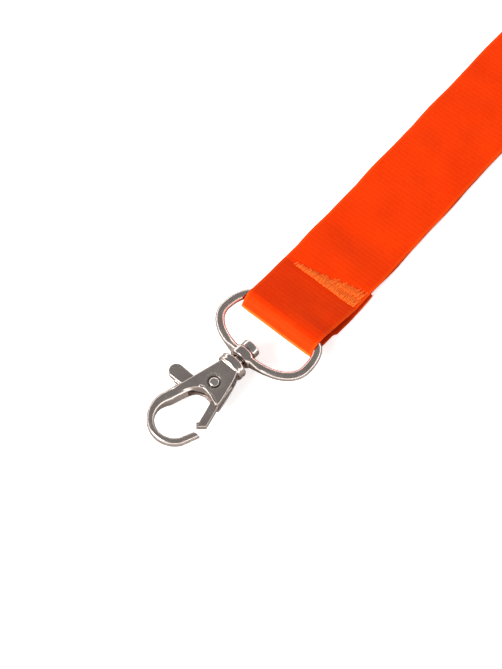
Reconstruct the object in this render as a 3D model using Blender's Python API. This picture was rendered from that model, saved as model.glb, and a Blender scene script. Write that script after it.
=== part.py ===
"""Neck lanyard end: a flat ribbon sewn round a ring, and a swivel trigger hook with a sprung gate.

Metres, +Z up, lying on the plane z = 0. The origin is on that plane, straight under the bar of the
ring. +X runs from the hook towards the ribbon, and +Y is the side that the thumb tab sticks out on.
"""

import math

import bmesh
import bpy
from mathutils import Matrix, Vector

for old in list(bpy.data.objects):
    bpy.data.objects.remove(old, do_unlink=True)

MM = 0.001
CLEARANCE = 0.3 * MM  # between any two pieces that touch on the real object

# Ribbon
RIBBON_WIDTH = 20 * MM
FOLD_WIDTH = 19.2 * MM  # the ring gathers the fold a little narrower
RIBBON_THICKNESS = 0.5 * MM
RIBBON_YAW = math.radians(3.0)  # the ribbon lies slightly askew to the hook
RIBBON_SHIFT = -0.3 * MM  # and a little to one side of it, under the bar
LOOP_INNER_RADIUS = 1.95 * MM  # of the fold that the ring's bar turns in
LOOP_SLACK = 0.95 * MM  # how far the fold's centre is in front of the bar
LOOP_SETTLES = 8.0 * MM  # how far behind the bar the folded layers come together
SEAM_START = 12.0 * MM  # of the bar tack, measured from the bar
SEAM_LENGTH = 4.6 * MM  # at its wide end
SEAM_NARROW = 0.33  # share of that length at the other edge of the ribbon
TAIL_LENGTH = 21 * MM  # of the folded end, from the fold's front edge
HANK_START = 100 * MM
HANK_LENGTH = 105 * MM
HANK_RUNS = 6  # layers of ribbon lying on each other
BAND_WIDTH = 12 * MM
BAND_THICKNESS = 0.5 * MM
THREAD_DIAMETER = 0.25 * MM
TACK_STITCHES = 22

# Ring
RING_WIRE = 2.1 * MM
RING_WIDTH = 25.26 * MM
RING_SHIFT = -0.33 * MM  # the boss sits a little off the ring's middle
RING_FRONT = 13.2 * MM  # from the bar's centre to the middle of the boss
RING_SIDE_X = 6.2 * MM  # where the ring is widest, in front of the bar
RING_CORNER_WIDTH = 3.0 * MM  # how far across each rear corner curves
RING_SWELL = 0.2 * MM  # how much further the bow reaches at the boss
RING_BOW_POWER = 2.2  # 2 is an ellipse, and more is squarer
BOSS_LENGTH = 2.4 * MM
BOSS_DIAMETER = 5.4 * MM
BOSS_FLARE = 5.5 * MM  # how far from the boss the wire starts to swell

# Swivel
COLLAR_DIAMETER = 6.6 * MM
COLLAR_LENGTH = 2.1 * MM
COLLAR_GAP = 1.0 * MM  # bare pin between the collar and the boss
PIN_DIAMETER = 2.4 * MM
PIN_HEAD_DIAMETER = 4.2 * MM
PIN_HEAD_LENGTH = 1.7 * MM
PIN_SEAT_DEPTH = 3.6 * MM  # how deep the pin goes into the hook

# Hook, with places measured from its reference point, which is level with the gate's pivot
REFERENCE_TO_COLLAR = 5.1 * MM
PIVOT_OFFSET = (0.2 * MM, -0.45 * MM)  # the gate's pivot is not quite on the swivel's line
BODY_THICKNESS = 4.4 * MM
BODY_EDGE_RADIUS = 0.5 * MM
CLAW_CENTRE = (-11.0 * MM, 0.2 * MM)
CLAW_RADIUS = 5.2 * MM  # to the middle of the claw's wire
CLAW_ROOT_WIDTH = 3.0 * MM
CLAW_WIDTH = 1.7 * MM
CLAW_HEIGHT = 2.3 * MM
CLAW_STRAIGHT_FROM = math.radians(238)  # where the bow runs out straight towards its tip
CLAW_TIP = (-10.5 * MM, -5.5 * MM)
CLAW_TIP_SLANT = 0.5 * MM

# Gate, with places measured from its pivot
GATE_ARM_WIDTH = 1.9 * MM
GATE_ARM_ROOT = (-3.6 * MM, -3.25 * MM)
GATE_END = (-9.4 * MM, -4.8 * MM)
GATE_END_SLANT = 1.05 * MM
GATE_THICKNESS = 1.8 * MM
GATE_HUB_RADIUS = 2.2 * MM
GATE_EDGE = 0.25 * MM
TAB_X = -3.05 * MM
TAB_WIDTH = 3.4 * MM
TAB_REACH = 9.9 * MM
RIVET_DIAMETER = 1.6 * MM
RIVET_HEAD_DIAMETER = 2.5 * MM
RIVET_RECESS_DIAMETER = 4.0 * MM
RIVET_RECESS_DEPTH = 0.25 * MM
SPRING_WIRE = 0.32 * MM
SPRING_TURNS = 2

AXIS_Z = COLLAR_DIAMETER / 2  # height of the swivel's line
BAR_Z = RIBBON_THICKNESS + LOOP_INNER_RADIUS  # height of the ring's bar
BOSS_X = -RING_FRONT
HOOK_X = BOSS_X - BOSS_LENGTH / 2 - COLLAR_GAP - COLLAR_LENGTH - REFERENCE_TO_COLLAR
PIVOT = (HOOK_X + PIVOT_OFFSET[0], PIVOT_OFFSET[1], AXIS_Z)
RING_BOW_REACH = RING_FRONT - RING_SIDE_X - RING_SWELL
SLOT_HEIGHT = GATE_THICKNESS + 2 * CLEARANCE
CHEEK_THICKNESS = (BODY_THICKNESS - SLOT_HEIGHT) / 2  # of the body's metal on each side of the gate
BODY_ROUNDING = min(BODY_EDGE_RADIUS, 0.6 * CHEEK_THICKNESS)
RIBBON_PITCH = RIBBON_THICKNESS + CLEARANCE
FOLD_X = -LOOP_SLACK - LOOP_INNER_RADIUS - RIBBON_THICKNESS
ROUND_SIDES = 24


def finish_material(name, colour, roughness, metallic):
    """A Principled material with a linear colour."""
    material = bpy.data.materials.new(name)
    material.use_nodes = True
    shader = material.node_tree.nodes["Principled BSDF"]
    shader.inputs["Base Color"].default_value = (*colour, 1)
    shader.inputs["Roughness"].default_value = roughness
    shader.inputs["Metallic"].default_value = metallic
    return material


NICKEL = finish_material("nickel_plated_zinc", (0.42, 0.37, 0.34), 0.22, 1.0)
STEEL = finish_material("nickel_plated_steel", (0.45, 0.41, 0.38), 0.25, 1.0)
SPRING_STEEL = finish_material("spring_steel", (0.30, 0.29, 0.28), 0.35, 1.0)
ORANGE_RIBBON = finish_material("woven_polyester_orange", (0.95, 0.05, 0.005), 0.6, 0.0)
ORANGE_THREAD = finish_material("polyester_thread_orange", (0.93, 0.08, 0.01), 0.4, 0.0)
BAND_FABRIC = finish_material("elastic_band_white", (0.80, 0.79, 0.76), 0.8, 0.0)


def empty_at(name, location, yaw=0.0):
    """An empty on a joint's axis, or on a line that several pieces lie along."""
    holder = bpy.data.objects.new(name, None)
    holder.location = location
    holder.rotation_euler = (0, 0, yaw)
    bpy.context.collection.objects.link(holder)
    return holder


RIBBON_LINE = empty_at("ribbon_line", (0, RIBBON_SHIFT, 0), RIBBON_YAW)
RING_AXIS = empty_at("ring_axis", (0, 0, BAR_Z))
SWIVEL_AXIS = empty_at("swivel_axis", (BOSS_X, 0, AXIS_Z))
HOOK_LINE = empty_at("hook_line", (HOOK_X, 0, AXIS_Z))
GATE_AXIS = empty_at("gate_axis", PIVOT)


def add_object(name, mesh, holder, material=None, smooth_degrees=35):
    """Link a mesh as an object under its holder. Without a material it is a hidden cutter."""
    piece = bpy.data.objects.new(name, mesh)
    piece.parent = holder
    bpy.context.collection.objects.link(piece)
    if material is None:
        piece.hide_render = True
        piece.display_type = "WIRE"
        return piece
    mesh.materials.append(material)
    mesh.shade_smooth()
    mesh.set_sharp_from_angle(angle=math.radians(smooth_degrees))
    return piece


def mesh_from(name, bm):
    bmesh.ops.recalc_face_normals(bm, faces=bm.faces)
    mesh = bpy.data.meshes.new(name)
    bm.to_mesh(mesh)
    bm.free()
    return mesh


def loft(name, rings, closed=False):
    """A skin over rings of points. Open lofts get a flat cap at each end."""
    bm = bmesh.new()
    rows = [[bm.verts.new(point) for point in ring] for ring in rings]
    pairs = list(zip(rows, rows[1:]))
    if closed:
        pairs.append((rows[-1], rows[0]))
    for row, after in pairs:
        count = len(row)
        for i in range(count):
            j = (i + 1) % count
            bm.faces.new((row[i], row[j], after[j], after[i]))
    if not closed:
        bm.faces.new(rows[0][::-1])
        bm.faces.new(rows[-1])
    return mesh_from(name, bm)


def extrude_outline(name, outline, axis, low, high, edge_radius=0.0, edge_steps=2):
    """A flat outline made solid between low and high along Y or Z, with rounded rims if asked."""
    bm = bmesh.new()
    if axis == "Z":
        verts = [bm.verts.new((x, y, low)) for x, y in outline]
        step = Vector((0, 0, high - low))
    else:
        verts = [bm.verts.new((x, low, z)) for x, z in outline]
        step = Vector((0, high - low, 0))
    base = bm.faces.new(verts)
    top = bmesh.ops.extrude_face_region(bm, geom=[base])["geom"]
    moved = [item for item in top if isinstance(item, bmesh.types.BMVert)]
    bmesh.ops.translate(bm, verts=moved, vec=step)
    if edge_radius:
        rims = [edge for edge in bm.edges if abs((edge.verts[0].co - edge.verts[1].co).dot(step)) < 1e-12]
        bmesh.ops.bevel(bm, geom=rims, offset=edge_radius, segments=edge_steps, profile=0.5,
                        affect="EDGES", clamp_overlap=True)
    return mesh_from(name, bm)


def turned(name, profile, sides=ROUND_SIDES):
    """A solid turned about the X axis from (x, radius) points. Its two ends lie on the axis."""
    bm = bmesh.new()
    verts = [bm.verts.new((x, 0, radius)) for x, radius in profile]
    edges = [bm.edges.new(pair) for pair in zip(verts, verts[1:])]
    bmesh.ops.spin(bm, geom=verts + edges, cent=(0, 0, 0), axis=(1, 0, 0), angle=math.tau,
                   steps=sides, use_merge=True)
    bmesh.ops.remove_doubles(bm, verts=bm.verts, dist=0.001 * MM)
    return mesh_from(name, bm)


def rod(name, radius, start, end, axis, sides=ROUND_SIDES):
    """A plain round rod along X or Z."""
    mesh = turned(name, [(start, 0), (start, radius), (end, radius), (end, 0)], sides)
    if axis == "Z":
        mesh.transform(Matrix.Rotation(math.radians(-90), 4, "Y"))
    return mesh


def arc(centre, radius, start, end, steps):
    """Points on a circle from one angle to another, both included."""
    angles = [start + (end - start) * i / steps for i in range(steps + 1)]
    return [(centre[0] + radius * math.cos(a), centre[1] + radius * math.sin(a)) for a in angles]


def smooth_line(points, steps):
    """A Catmull-Rom curve through the points, with that many steps between two of them."""
    padded = [2 * points[0] - points[1], *points, 2 * points[-1] - points[-2]]
    line = []
    for before, a, b, after in zip(padded, padded[1:], padded[2:], padded[3:]):
        for i in range(steps):
            t = i / steps
            line.append(0.5 * (2 * a + (b - before) * t + (2 * before - 5 * a + 4 * b - after) * t**2
                               + (3 * a - before - 3 * b + after) * t**3))
    return line + [points[-1]]


def join(target, tool, operation):
    """Boolean a hidden tool into or out of a piece."""
    modifier = target.modifiers.new(f"{operation.lower()}_{tool.name}", "BOOLEAN")
    modifier.operation = operation
    modifier.solver = "EXACT"
    modifier.object = tool


# ---------------------------------------------------------------- ribbon
def layer_z(x):
    """Height of the middle of the folded end's upper layer, from the bar back to the hank."""
    top = LOOP_INNER_RADIUS * 2 + RIBBON_THICKNESS * 1.5
    seam = tail_z(SEAM_START) + 2 * RIBBON_PITCH
    flat = RIBBON_PITCH + RIBBON_THICKNESS / 2
    if x < SEAM_START:
        t = min(1.0, max(0.0, x) / LOOP_SETTLES)
        return top + (seam - top) * (3 * t**2 - 2 * t**3)
    tail_end = FOLD_X + TAIL_LENGTH
    t = min(1.0, max(0.0, (x - tail_end) / (RIBBON_WIDTH / 2)))
    return seam + (flat - seam) * (3 * t**2 - 2 * t**3)


def thicken(path, thickness):
    """The outline of a strip of that thickness whose middle runs along an (x, z) path."""
    one_side, other_side = [], []
    for i, point in enumerate(path):
        before = Vector(path[max(i - 1, 0)])
        after = Vector(path[min(i + 1, len(path) - 1)])
        along = (after - before).normalized()
        across = Vector((-along.y, along.x)) * thickness / 2
        one_side.append(Vector(point) + across)
        other_side.append(Vector(point) - across)
    return [tuple(p) for p in one_side + other_side[::-1]]


def tail_z(x):
    """The tail's middle height: flat, but raised over the bobbin thread under the tack."""
    rise = THREAD_DIAMETER + CLEARANCE
    ramp = 2.5 * MM
    into = min(1.0, max(0.0, (x - SEAM_START + ramp) / ramp))
    return RIBBON_THICKNESS / 2 + rise * (3 * into**2 - 2 * into**3)


def ribbon_front_run():
    tail_end = FOLD_X + TAIL_LENGTH
    fold_middle = LOOP_INNER_RADIUS + RIBBON_THICKNESS / 2
    tail_steps = 12
    tail = [tail_end + (-LOOP_SLACK - tail_end) * i / tail_steps for i in range(tail_steps)]
    path = [(x, tail_z(x)) for x in tail]
    path += arc((-LOOP_SLACK, LOOP_INNER_RADIUS + RIBBON_THICKNESS), fold_middle,
                math.radians(-90), math.radians(-270), 14)
    curved = [LOOP_SETTLES * i / 8 for i in range(9)] + [SEAM_START]
    settled = [tail_end + RIBBON_WIDTH / 2 * i / 6 for i in range(7)]
    path += [(x, layer_z(x)) for x in curved + settled + [HANK_START - CLEARANCE]]
    mesh = extrude_outline("ribbon_front_run", thicken(path, RIBBON_THICKNESS), "Y",
                           -RIBBON_WIDTH / 2, RIBBON_WIDTH / 2)
    for vertex in mesh.vertices:
        t = min(1.0, max(0.0, vertex.co.x / SEAM_START))
        narrow = (1 - FOLD_WIDTH / RIBBON_WIDTH) * (1 - 3 * t**2 + 2 * t**3)
        vertex.co.y *= 1 - narrow
    return add_object("ribbon_front_run", mesh, RIBBON_LINE, ORANGE_RIBBON)


def ribbon_back_run():
    start = SEAM_START - 1.0 * MM
    tail_end = FOLD_X + TAIL_LENGTH
    steps = 10
    seam = [start + (tail_end - start) * i / 3 for i in range(4)]
    down = [tail_end + RIBBON_WIDTH / 2 * i / steps for i in range(1, steps + 1)]
    path = [(x, layer_z(x) - RIBBON_PITCH) for x in seam + down + [HANK_START - CLEARANCE]]
    mesh = extrude_outline("ribbon_back_run", thicken(path, RIBBON_THICKNESS), "Y",
                           -RIBBON_WIDTH / 2, RIBBON_WIDTH / 2)
    return add_object("ribbon_back_run", mesh, RIBBON_LINE, ORANGE_RIBBON)


def hank_height():
    return HANK_RUNS * RIBBON_PITCH


def ribbon_hank():
    """The folded up ribbon: a bar with round ends and a groove where the band passes under it."""
    height = hank_height()
    radius = height / 2
    centre_x = HANK_START + HANK_LENGTH / 2
    groove = BAND_THICKNESS + CLEARANCE
    half = BAND_WIDTH / 2 + CLEARANCE
    back = arc((HANK_START + HANK_LENGTH - radius, radius), radius, math.radians(-90), math.radians(90), 10)
    front = arc((HANK_START + radius, radius), radius, math.radians(90), math.radians(270), 10)
    under = [(centre_x - half - groove, 0), (centre_x - half, groove),
             (centre_x + half, groove), (centre_x + half + groove, 0)]
    mesh = extrude_outline("ribbon_hank", back + front + under, "Y", -RIBBON_WIDTH / 2, RIBBON_WIDTH / 2)
    return add_object("ribbon_hank", mesh, RIBBON_LINE, ORANGE_RIBBON)


def hank_band():
    """A flat band all the way round the hank."""
    inner_y = RIBBON_WIDTH / 2 + CLEARANCE
    inner_low = BAND_THICKNESS
    inner_high = hank_height() + CLEARANCE
    corner = 0.6 * MM
    centre_x = HANK_START + HANK_LENGTH / 2

    def rounded(grow):
        radius = corner + grow
        quarter = math.pi / 2
        points = []
        for turn, (y, z) in enumerate([(inner_y, inner_high), (-inner_y, inner_high),
                                       (-inner_y, inner_low), (inner_y, inner_low)]):
            centre = (y - math.copysign(corner, y), z + (corner if z == inner_low else -corner))
            points += arc(centre, radius, turn * quarter, (turn + 1) * quarter, 3)
        return points

    inner, outer = rounded(0.0), rounded(BAND_THICKNESS)
    low, high = centre_x - BAND_WIDTH / 2, centre_x + BAND_WIDTH / 2
    rings = [[(low, *i), (high, *i), (high, *o), (low, *o)] for i, o in zip(inner, outer)]
    return add_object("hank_band", loft("hank_band", rings, closed=True), RIBBON_LINE, BAND_FABRIC)


def tack_thread(name, height):
    """One thread of the bar tack: a zigzag across the ribbon, which widens from one edge to the
    other."""
    reach = RIBBON_WIDTH / 2 - 1.0 * MM
    curve = bpy.data.curves.new(name, "CURVE")
    curve.dimensions = "3D"
    curve.bevel_depth = THREAD_DIAMETER / 2
    curve.bevel_resolution = 0
    curve.resolution_u = 1
    curve.use_fill_caps = True
    spline = curve.splines.new("POLY")
    spline.points.add(2 * TACK_STITCHES - 1)
    for i, point in enumerate(spline.points):
        along = i / (2 * TACK_STITCHES - 1)
        y = reach * (1 - 2 * along)
        length = SEAM_LENGTH * (SEAM_NARROW + (1 - SEAM_NARROW) * along)
        x = SEAM_START + (length if i % 2 else 0.0)
        point.co = (x, y, height, 1)
    curve.materials.append(ORANGE_THREAD)
    thread = bpy.data.objects.new(name, curve)
    thread.parent = RIBBON_LINE
    bpy.context.collection.objects.link(thread)
    return thread


# ---------------------------------------------------------------- ring
def ring_path():
    """The middle line of the ring's wire, as (x, y) from the bar: a straight bar, two long round
    corners, and one wide bow that swells a little towards the boss."""
    half_width = (RING_WIDTH - RING_WIRE) / 2
    bar_half = half_width - RING_CORNER_WIDTH
    corner_steps, bow_steps = 7, 28
    rear, bow = [], []
    for i in range(corner_steps):
        angle = math.radians(90) * i / corner_steps
        x = RING_SIDE_X * (math.cos(angle) - 1)
        rear.append((x, bar_half + RING_CORNER_WIDTH * math.sin(angle)))
    for i in range(bow_steps + 1):
        angle = math.pi * i / bow_steps
        y = half_width * math.copysign(abs(math.cos(angle)) ** (2 / RING_BOW_POWER), math.cos(angle))
        reach = RING_BOW_REACH * math.sin(angle) ** (2 / RING_BOW_POWER)
        swell = RING_SWELL * math.exp(-(y / BOSS_FLARE * 2) ** 2)
        bow.append((-RING_SIDE_X - reach - swell, y))
    rear_other = [(x, -y) for x, y in reversed(rear)]
    return [(x, y + RING_SHIFT) for x, y in [(0, 0)] + rear + bow + rear_other]


def tube_rings(path, size, closed, power=2.0, sides=12):
    """Cross-sections along a flat (x, y) path. size(i) gives each one's width and height."""
    rings = []
    count = len(path)
    for i, point in enumerate(path):
        before = Vector(path[i - 1]) if closed or i else Vector(path[0])
        after = Vector(path[(i + 1) % count]) if closed or i < count - 1 else Vector(path[-1])
        along = (after - before).normalized()
        across = Vector((-along.y, along.x))
        width, height = size(i)
        ring = []
        for k in range(sides):
            angle = math.tau * k / sides
            c, s = math.cos(angle), math.sin(angle)
            u = math.copysign(abs(c) ** (2 / power), c) * width / 2
            v = math.copysign(abs(s) ** (2 / power), s) * height / 2
            ring.append((point[0] + across.x * u, point[1] + across.y * u, v))
        rings.append(ring)
    return rings


def swivel_ring():
    path = ring_path()

    def size(i):
        """Plain round wire, which swells to the height of the boss beside it."""
        x, y = path[i]
        near = max(0.0, 1 - abs(y) / BOSS_FLARE) if x < -RING_SIDE_X else 0.0
        return RING_WIRE, RING_WIRE + (0.86 * BOSS_DIAMETER - RING_WIRE) * near**1.5

    wire = tube_rings(path, size, True)
    rise = (AXIS_Z - BAR_Z) / RING_FRONT
    tilted = [[(x, y, z - x * rise) for x, y, z in section] for section in wire]
    ring = add_object("swivel_ring", loft("swivel_ring", tilted, True), RING_AXIS, NICKEL)
    half = BOSS_LENGTH / 2
    edge = 0.5 * MM
    radius = BOSS_DIAMETER / 2
    boss_profile = [(-half, 0), (-half, radius - edge), (-half + edge, radius), (half - edge, radius),
                    (half, radius - edge), (half, 0)]
    boss = add_object("cut_boss", turned("cut_boss", boss_profile), SWIVEL_AXIS)
    bore_radius = PIN_DIAMETER / 2 + CLEARANCE
    bore = add_object("cut_boss_bore", rod("cut_boss_bore", bore_radius, -4 * half, 4 * half, "X"), SWIVEL_AXIS)
    join(ring, boss, "UNION")
    join(ring, bore, "DIFFERENCE")
    return ring


def swivel_pin():
    """Head inside the ring, shank through the boss, end fixed in the hook."""
    head_start = BOSS_LENGTH / 2 + CLEARANCE
    dome = [(head_start + PIN_HEAD_LENGTH * (0.45 + 0.55 * math.sin(a)),
             PIN_HEAD_DIAMETER / 2 * math.cos(a)) for a in [math.radians(18 * i) for i in range(6)]]
    shank = PIN_DIAMETER / 2
    end = -(BOSS_LENGTH / 2 + COLLAR_GAP + PIN_SEAT_DEPTH)
    profile = [(end, 0), (end, shank), (head_start, shank), (head_start, PIN_HEAD_DIAMETER / 2)]
    profile += dome[:-1] + [(dome[-1][0], 0)]
    return add_object("swivel_pin", turned("swivel_pin", profile), SWIVEL_AXIS, STEEL)


# ---------------------------------------------------------------- hook
def in_mm(points):
    """Points given in millimetres, turned into metres."""
    return [Vector(point) * MM for point in points]


def claw_path():
    """The middle line of the claw, from inside the body round to its open end."""
    bow = arc(CLAW_CENTRE, CLAW_RADIUS, math.radians(62), CLAW_STRAIGHT_FROM, 22)
    root = smooth_line(in_mm([(-2.6, 2.6), (-5.0, 3.7)]) + [Vector(bow[0])], 3)
    arm = smooth_line([Vector(bow[-1]), (Vector(bow[-1]) + Vector(CLAW_TIP)) / 2, Vector(CLAW_TIP)], 2)
    return [tuple(point) for point in root] + bow[1:] + [tuple(point) for point in arm[1:]]


def claw_rings():
    """The claw's cross-sections. The last one is slanted, to face the end of the gate."""
    path = claw_path()
    rings = tube_rings(path, claw_size, False, 2.6)
    along = (Vector(path[-1]) - Vector(path[-2])).normalized()
    across = Vector((-along.y, along.x))
    tip = []
    for x, y, z in rings[-1]:
        inward = (Vector((x, y)) - Vector(path[-1])).dot(across) / (CLAW_WIDTH / 2)
        back = along * CLAW_TIP_SLANT * inward
        tip.append((x - back.x, y - back.y, z))
    return rings[:-1] + [tip]


def claw_size(i):
    """Wide and tall in the body, thinning to the wire of the claw."""
    t = min(1.0, i / 13)
    blend = 3 * t**2 - 2 * t**3
    root_height = BODY_THICKNESS - BODY_ROUNDING
    width = CLAW_ROOT_WIDTH + (CLAW_WIDTH - CLAW_ROOT_WIDTH) * blend
    height = root_height + (CLAW_HEIGHT - root_height) * blend
    return width, height


def body_outline():
    """The cheeks seen from above: straight flanks, and a concave arch over the claw's eye."""
    neck = REFERENCE_TO_COLLAR / MM + 0.3
    leg_end = (-3.5, -4.2)
    flank = [(neck, -2.5), (4.0, -3.2), (1.6, -4.0), (-1.2, -4.75), (-2.9, -4.95), leg_end]
    arch = smooth_line(in_mm([leg_end, (-2.8, -2.1), (-2.5, -0.2), (-2.95, 1.1), (-4.2, 2.3), (-7.0, 3.7)]), 3)
    top = [(-7.7, 5.1), (-5.2, 4.75), (-0.2, 3.5), (neck, 2.2)]
    return [tuple(point) for point in in_mm(flank[:-1]) + arch + in_mm(top)]


def hook_body():
    half = BODY_THICKNESS / 2
    mesh = extrude_outline("hook_body", body_outline(), "Z", -half, half, BODY_ROUNDING)
    body = add_object("hook_body", mesh, HOOK_LINE, NICKEL)
    claw = add_object("cut_claw", loft("cut_claw", claw_rings()), HOOK_LINE)
    join(body, claw, "UNION")

    edge = 0.45 * MM
    start, end = REFERENCE_TO_COLLAR, REFERENCE_TO_COLLAR + COLLAR_LENGTH
    radius = COLLAR_DIAMETER / 2
    collar_profile = [(start, 0), (start, radius - edge), (start + 0.3 * edge, radius - 0.3 * edge),
                      (start + edge, radius), (end - edge, radius), (end - 0.3 * edge, radius - 0.3 * edge),
                      (end, radius - edge), (end, 0)]
    collar = add_object("cut_collar", turned("cut_collar", collar_profile), HOOK_LINE)
    join(body, collar, "UNION")

    seat_radius = PIN_DIAMETER / 2 + CLEARANCE
    seat = rod("cut_pin_seat", seat_radius, end - PIN_SEAT_DEPTH - CLEARANCE, end + 1 * MM, "X")
    join(body, add_object("cut_pin_seat", seat, HOOK_LINE), "DIFFERENCE")

    slot_outline = [tuple(point) for point in in_mm([(-5.0, -6.5), (2.9, -6.5), (2.9, 7.0), (-5.0, 7.0)])]
    slot = extrude_outline("cut_slot", slot_outline, "Z", -SLOT_HEIGHT / 2, SLOT_HEIGHT / 2)
    join(body, add_object("cut_slot", slot, HOOK_LINE), "DIFFERENCE")

    hole = rod("cut_rivet_hole", RIVET_DIAMETER / 2 + CLEARANCE, -2 * half, 2 * half, "Z")
    join(body, add_object("cut_rivet_hole", hole, GATE_AXIS), "DIFFERENCE")
    for name, side in (("cut_recess_top", 1), ("cut_recess_under", -1)):
        low, high = sorted((side * (half - RIVET_RECESS_DEPTH), side * 2 * half))
        recess = rod(name, RIVET_RECESS_DIAMETER / 2, low, high, "Z")
        join(body, add_object(name, recess, GATE_AXIS), "DIFFERENCE")
    return body


# ---------------------------------------------------------------- gate
def gate_outline():
    """The lever from above: hub, arm with a chamfered end, and thumb tab with a round end."""
    root, end = Vector(GATE_ARM_ROOT), Vector(GATE_END)
    along = (end - root).normalized()
    inward = Vector((along.y, -along.x)) * GATE_ARM_WIDTH / 2
    flush = root - inward - along * 5.6 * MM
    hub = arc((0, 0), GATE_HUB_RADIUS, math.radians(-35), math.radians(50), 6)
    tab = arc((TAB_X, TAB_REACH - TAB_WIDTH / 2), TAB_WIDTH / 2, 0, math.pi, 8)
    throat = in_mm([(-4.5, 3.6), (-2.9, 1.6), (-2.35, -0.2), (-2.6, -1.6)])
    outer = [end - inward - along * GATE_END_SLANT, root - inward, flush]
    inner = [root + inward + along * 0.3 * MM, end + inward]
    points = outer + hub + [(TAB_X + TAB_WIDTH / 2, 3.4 * MM)] + tab + throat + inner
    return [tuple(point) for point in points]


def gate_lever():
    half = GATE_THICKNESS / 2
    mesh = extrude_outline("gate_lever", gate_outline(), "Z", -half, half, GATE_EDGE)
    lever = add_object("gate_lever", mesh, GATE_AXIS, NICKEL)
    bore = rod("cut_gate_bore", RIVET_DIAMETER / 2 + CLEARANCE, -2 * half, 2 * half, "Z")
    join(lever, add_object("cut_gate_bore", bore, GATE_AXIS), "DIFFERENCE")
    pocket_radius = spring_radius() + SPRING_WIRE / 2 + CLEARANCE
    pocket = rod("cut_spring_pocket", pocket_radius, half - pocket_depth(), 2 * half, "Z")
    join(lever, add_object("cut_spring_pocket", pocket, GATE_AXIS), "DIFFERENCE")
    return lever


def spring_radius():
    """Middle of the coil's wire, clear of the rivet that it sits on."""
    return RIVET_DIAMETER / 2 + CLEARANCE + SPRING_WIRE / 2


def pocket_depth():
    return (SPRING_TURNS + 1) * SPRING_WIRE + CLEARANCE


def gate_spring():
    """A torsion spring of two turns, in the pocket in the lever's hub."""
    steps = 14
    curve = bpy.data.curves.new("gate_spring", "CURVE")
    curve.dimensions = "3D"
    curve.bevel_depth = SPRING_WIRE / 2
    curve.bevel_resolution = 0
    curve.resolution_u = 1
    curve.use_fill_caps = True
    spline = curve.splines.new("POLY")
    spline.points.add(SPRING_TURNS * steps)
    start = GATE_THICKNESS / 2 - pocket_depth() + CLEARANCE + SPRING_WIRE / 2
    pitch = SPRING_WIRE * 1.3
    for i, point in enumerate(spline.points):
        angle = math.tau * i / steps
        x, y = spring_radius() * math.cos(angle), spring_radius() * math.sin(angle)
        point.co = (x, y, start + pitch * i / steps, 1)
    curve.materials.append(SPRING_STEEL)
    spring = bpy.data.objects.new("gate_spring", curve)
    spring.parent = GATE_AXIS
    bpy.context.collection.objects.link(spring)
    return spring


def pivot_rivet():
    """A rivet through both cheeks, with a low domed head in each recess."""
    shank = RIVET_DIAMETER / 2
    head = RIVET_HEAD_DIAMETER / 2
    seat = BODY_THICKNESS / 2 - RIVET_RECESS_DEPTH + CLEARANCE
    rise = 0.45 * MM
    half_profile = [(seat, shank), (seat, head), (seat + 0.4 * rise, head * 0.9), (seat + rise, head * 0.45)]
    top = half_profile + [(seat + rise, 0)]
    bottom = [(-x, r) for x, r in reversed(top)]
    mesh = turned("pivot_rivet", bottom + top)
    mesh.transform(Matrix.Rotation(math.radians(-90), 4, "Y"))
    return add_object("pivot_rivet", mesh, GATE_AXIS, STEEL)


ribbon_front_run()
ribbon_back_run()
ribbon_hank()
hank_band()
seam_top = layer_z(SEAM_START) + RIBBON_THICKNESS / 2
tack_thread("tack_needle_thread", seam_top + CLEARANCE + THREAD_DIAMETER / 2)
tack_thread("tack_bobbin_thread", THREAD_DIAMETER / 2)
swivel_ring()
swivel_pin()
hook_body()
gate_lever()
gate_spring()
pivot_rivet()
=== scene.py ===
import math
import random

import bmesh
import bpy
from mathutils import Matrix, Vector, noise


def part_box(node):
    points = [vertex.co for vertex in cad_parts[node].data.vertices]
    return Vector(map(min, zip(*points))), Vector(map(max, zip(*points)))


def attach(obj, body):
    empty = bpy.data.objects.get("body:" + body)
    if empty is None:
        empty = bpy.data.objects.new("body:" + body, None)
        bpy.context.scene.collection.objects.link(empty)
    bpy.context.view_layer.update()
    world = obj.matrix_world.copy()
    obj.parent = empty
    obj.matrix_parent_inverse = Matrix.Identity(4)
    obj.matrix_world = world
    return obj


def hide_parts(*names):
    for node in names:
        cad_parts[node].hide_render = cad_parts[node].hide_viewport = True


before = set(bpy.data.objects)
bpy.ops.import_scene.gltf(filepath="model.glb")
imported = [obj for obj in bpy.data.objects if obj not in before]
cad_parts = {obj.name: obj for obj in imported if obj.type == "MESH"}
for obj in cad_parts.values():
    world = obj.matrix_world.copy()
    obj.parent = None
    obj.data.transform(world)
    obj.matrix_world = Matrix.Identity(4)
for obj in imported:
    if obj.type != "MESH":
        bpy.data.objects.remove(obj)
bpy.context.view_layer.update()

MM = 0.001


# ---------------------------------------------------------------- camera
# A long lens held high over one corner of the hook end, so that the ribbon runs away to the upper
# right. It has no depth of field, and the whole object is sharp.
CAMERA_AZIMUTH = math.radians(-47)
CAMERA_ELEVATION = math.radians(63)
CAMERA_DISTANCE = 355 * MM
CAMERA_LENS = 87.9
LOOK_AT = Vector((-6.9, 3.4, 0.0)) * MM

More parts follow.
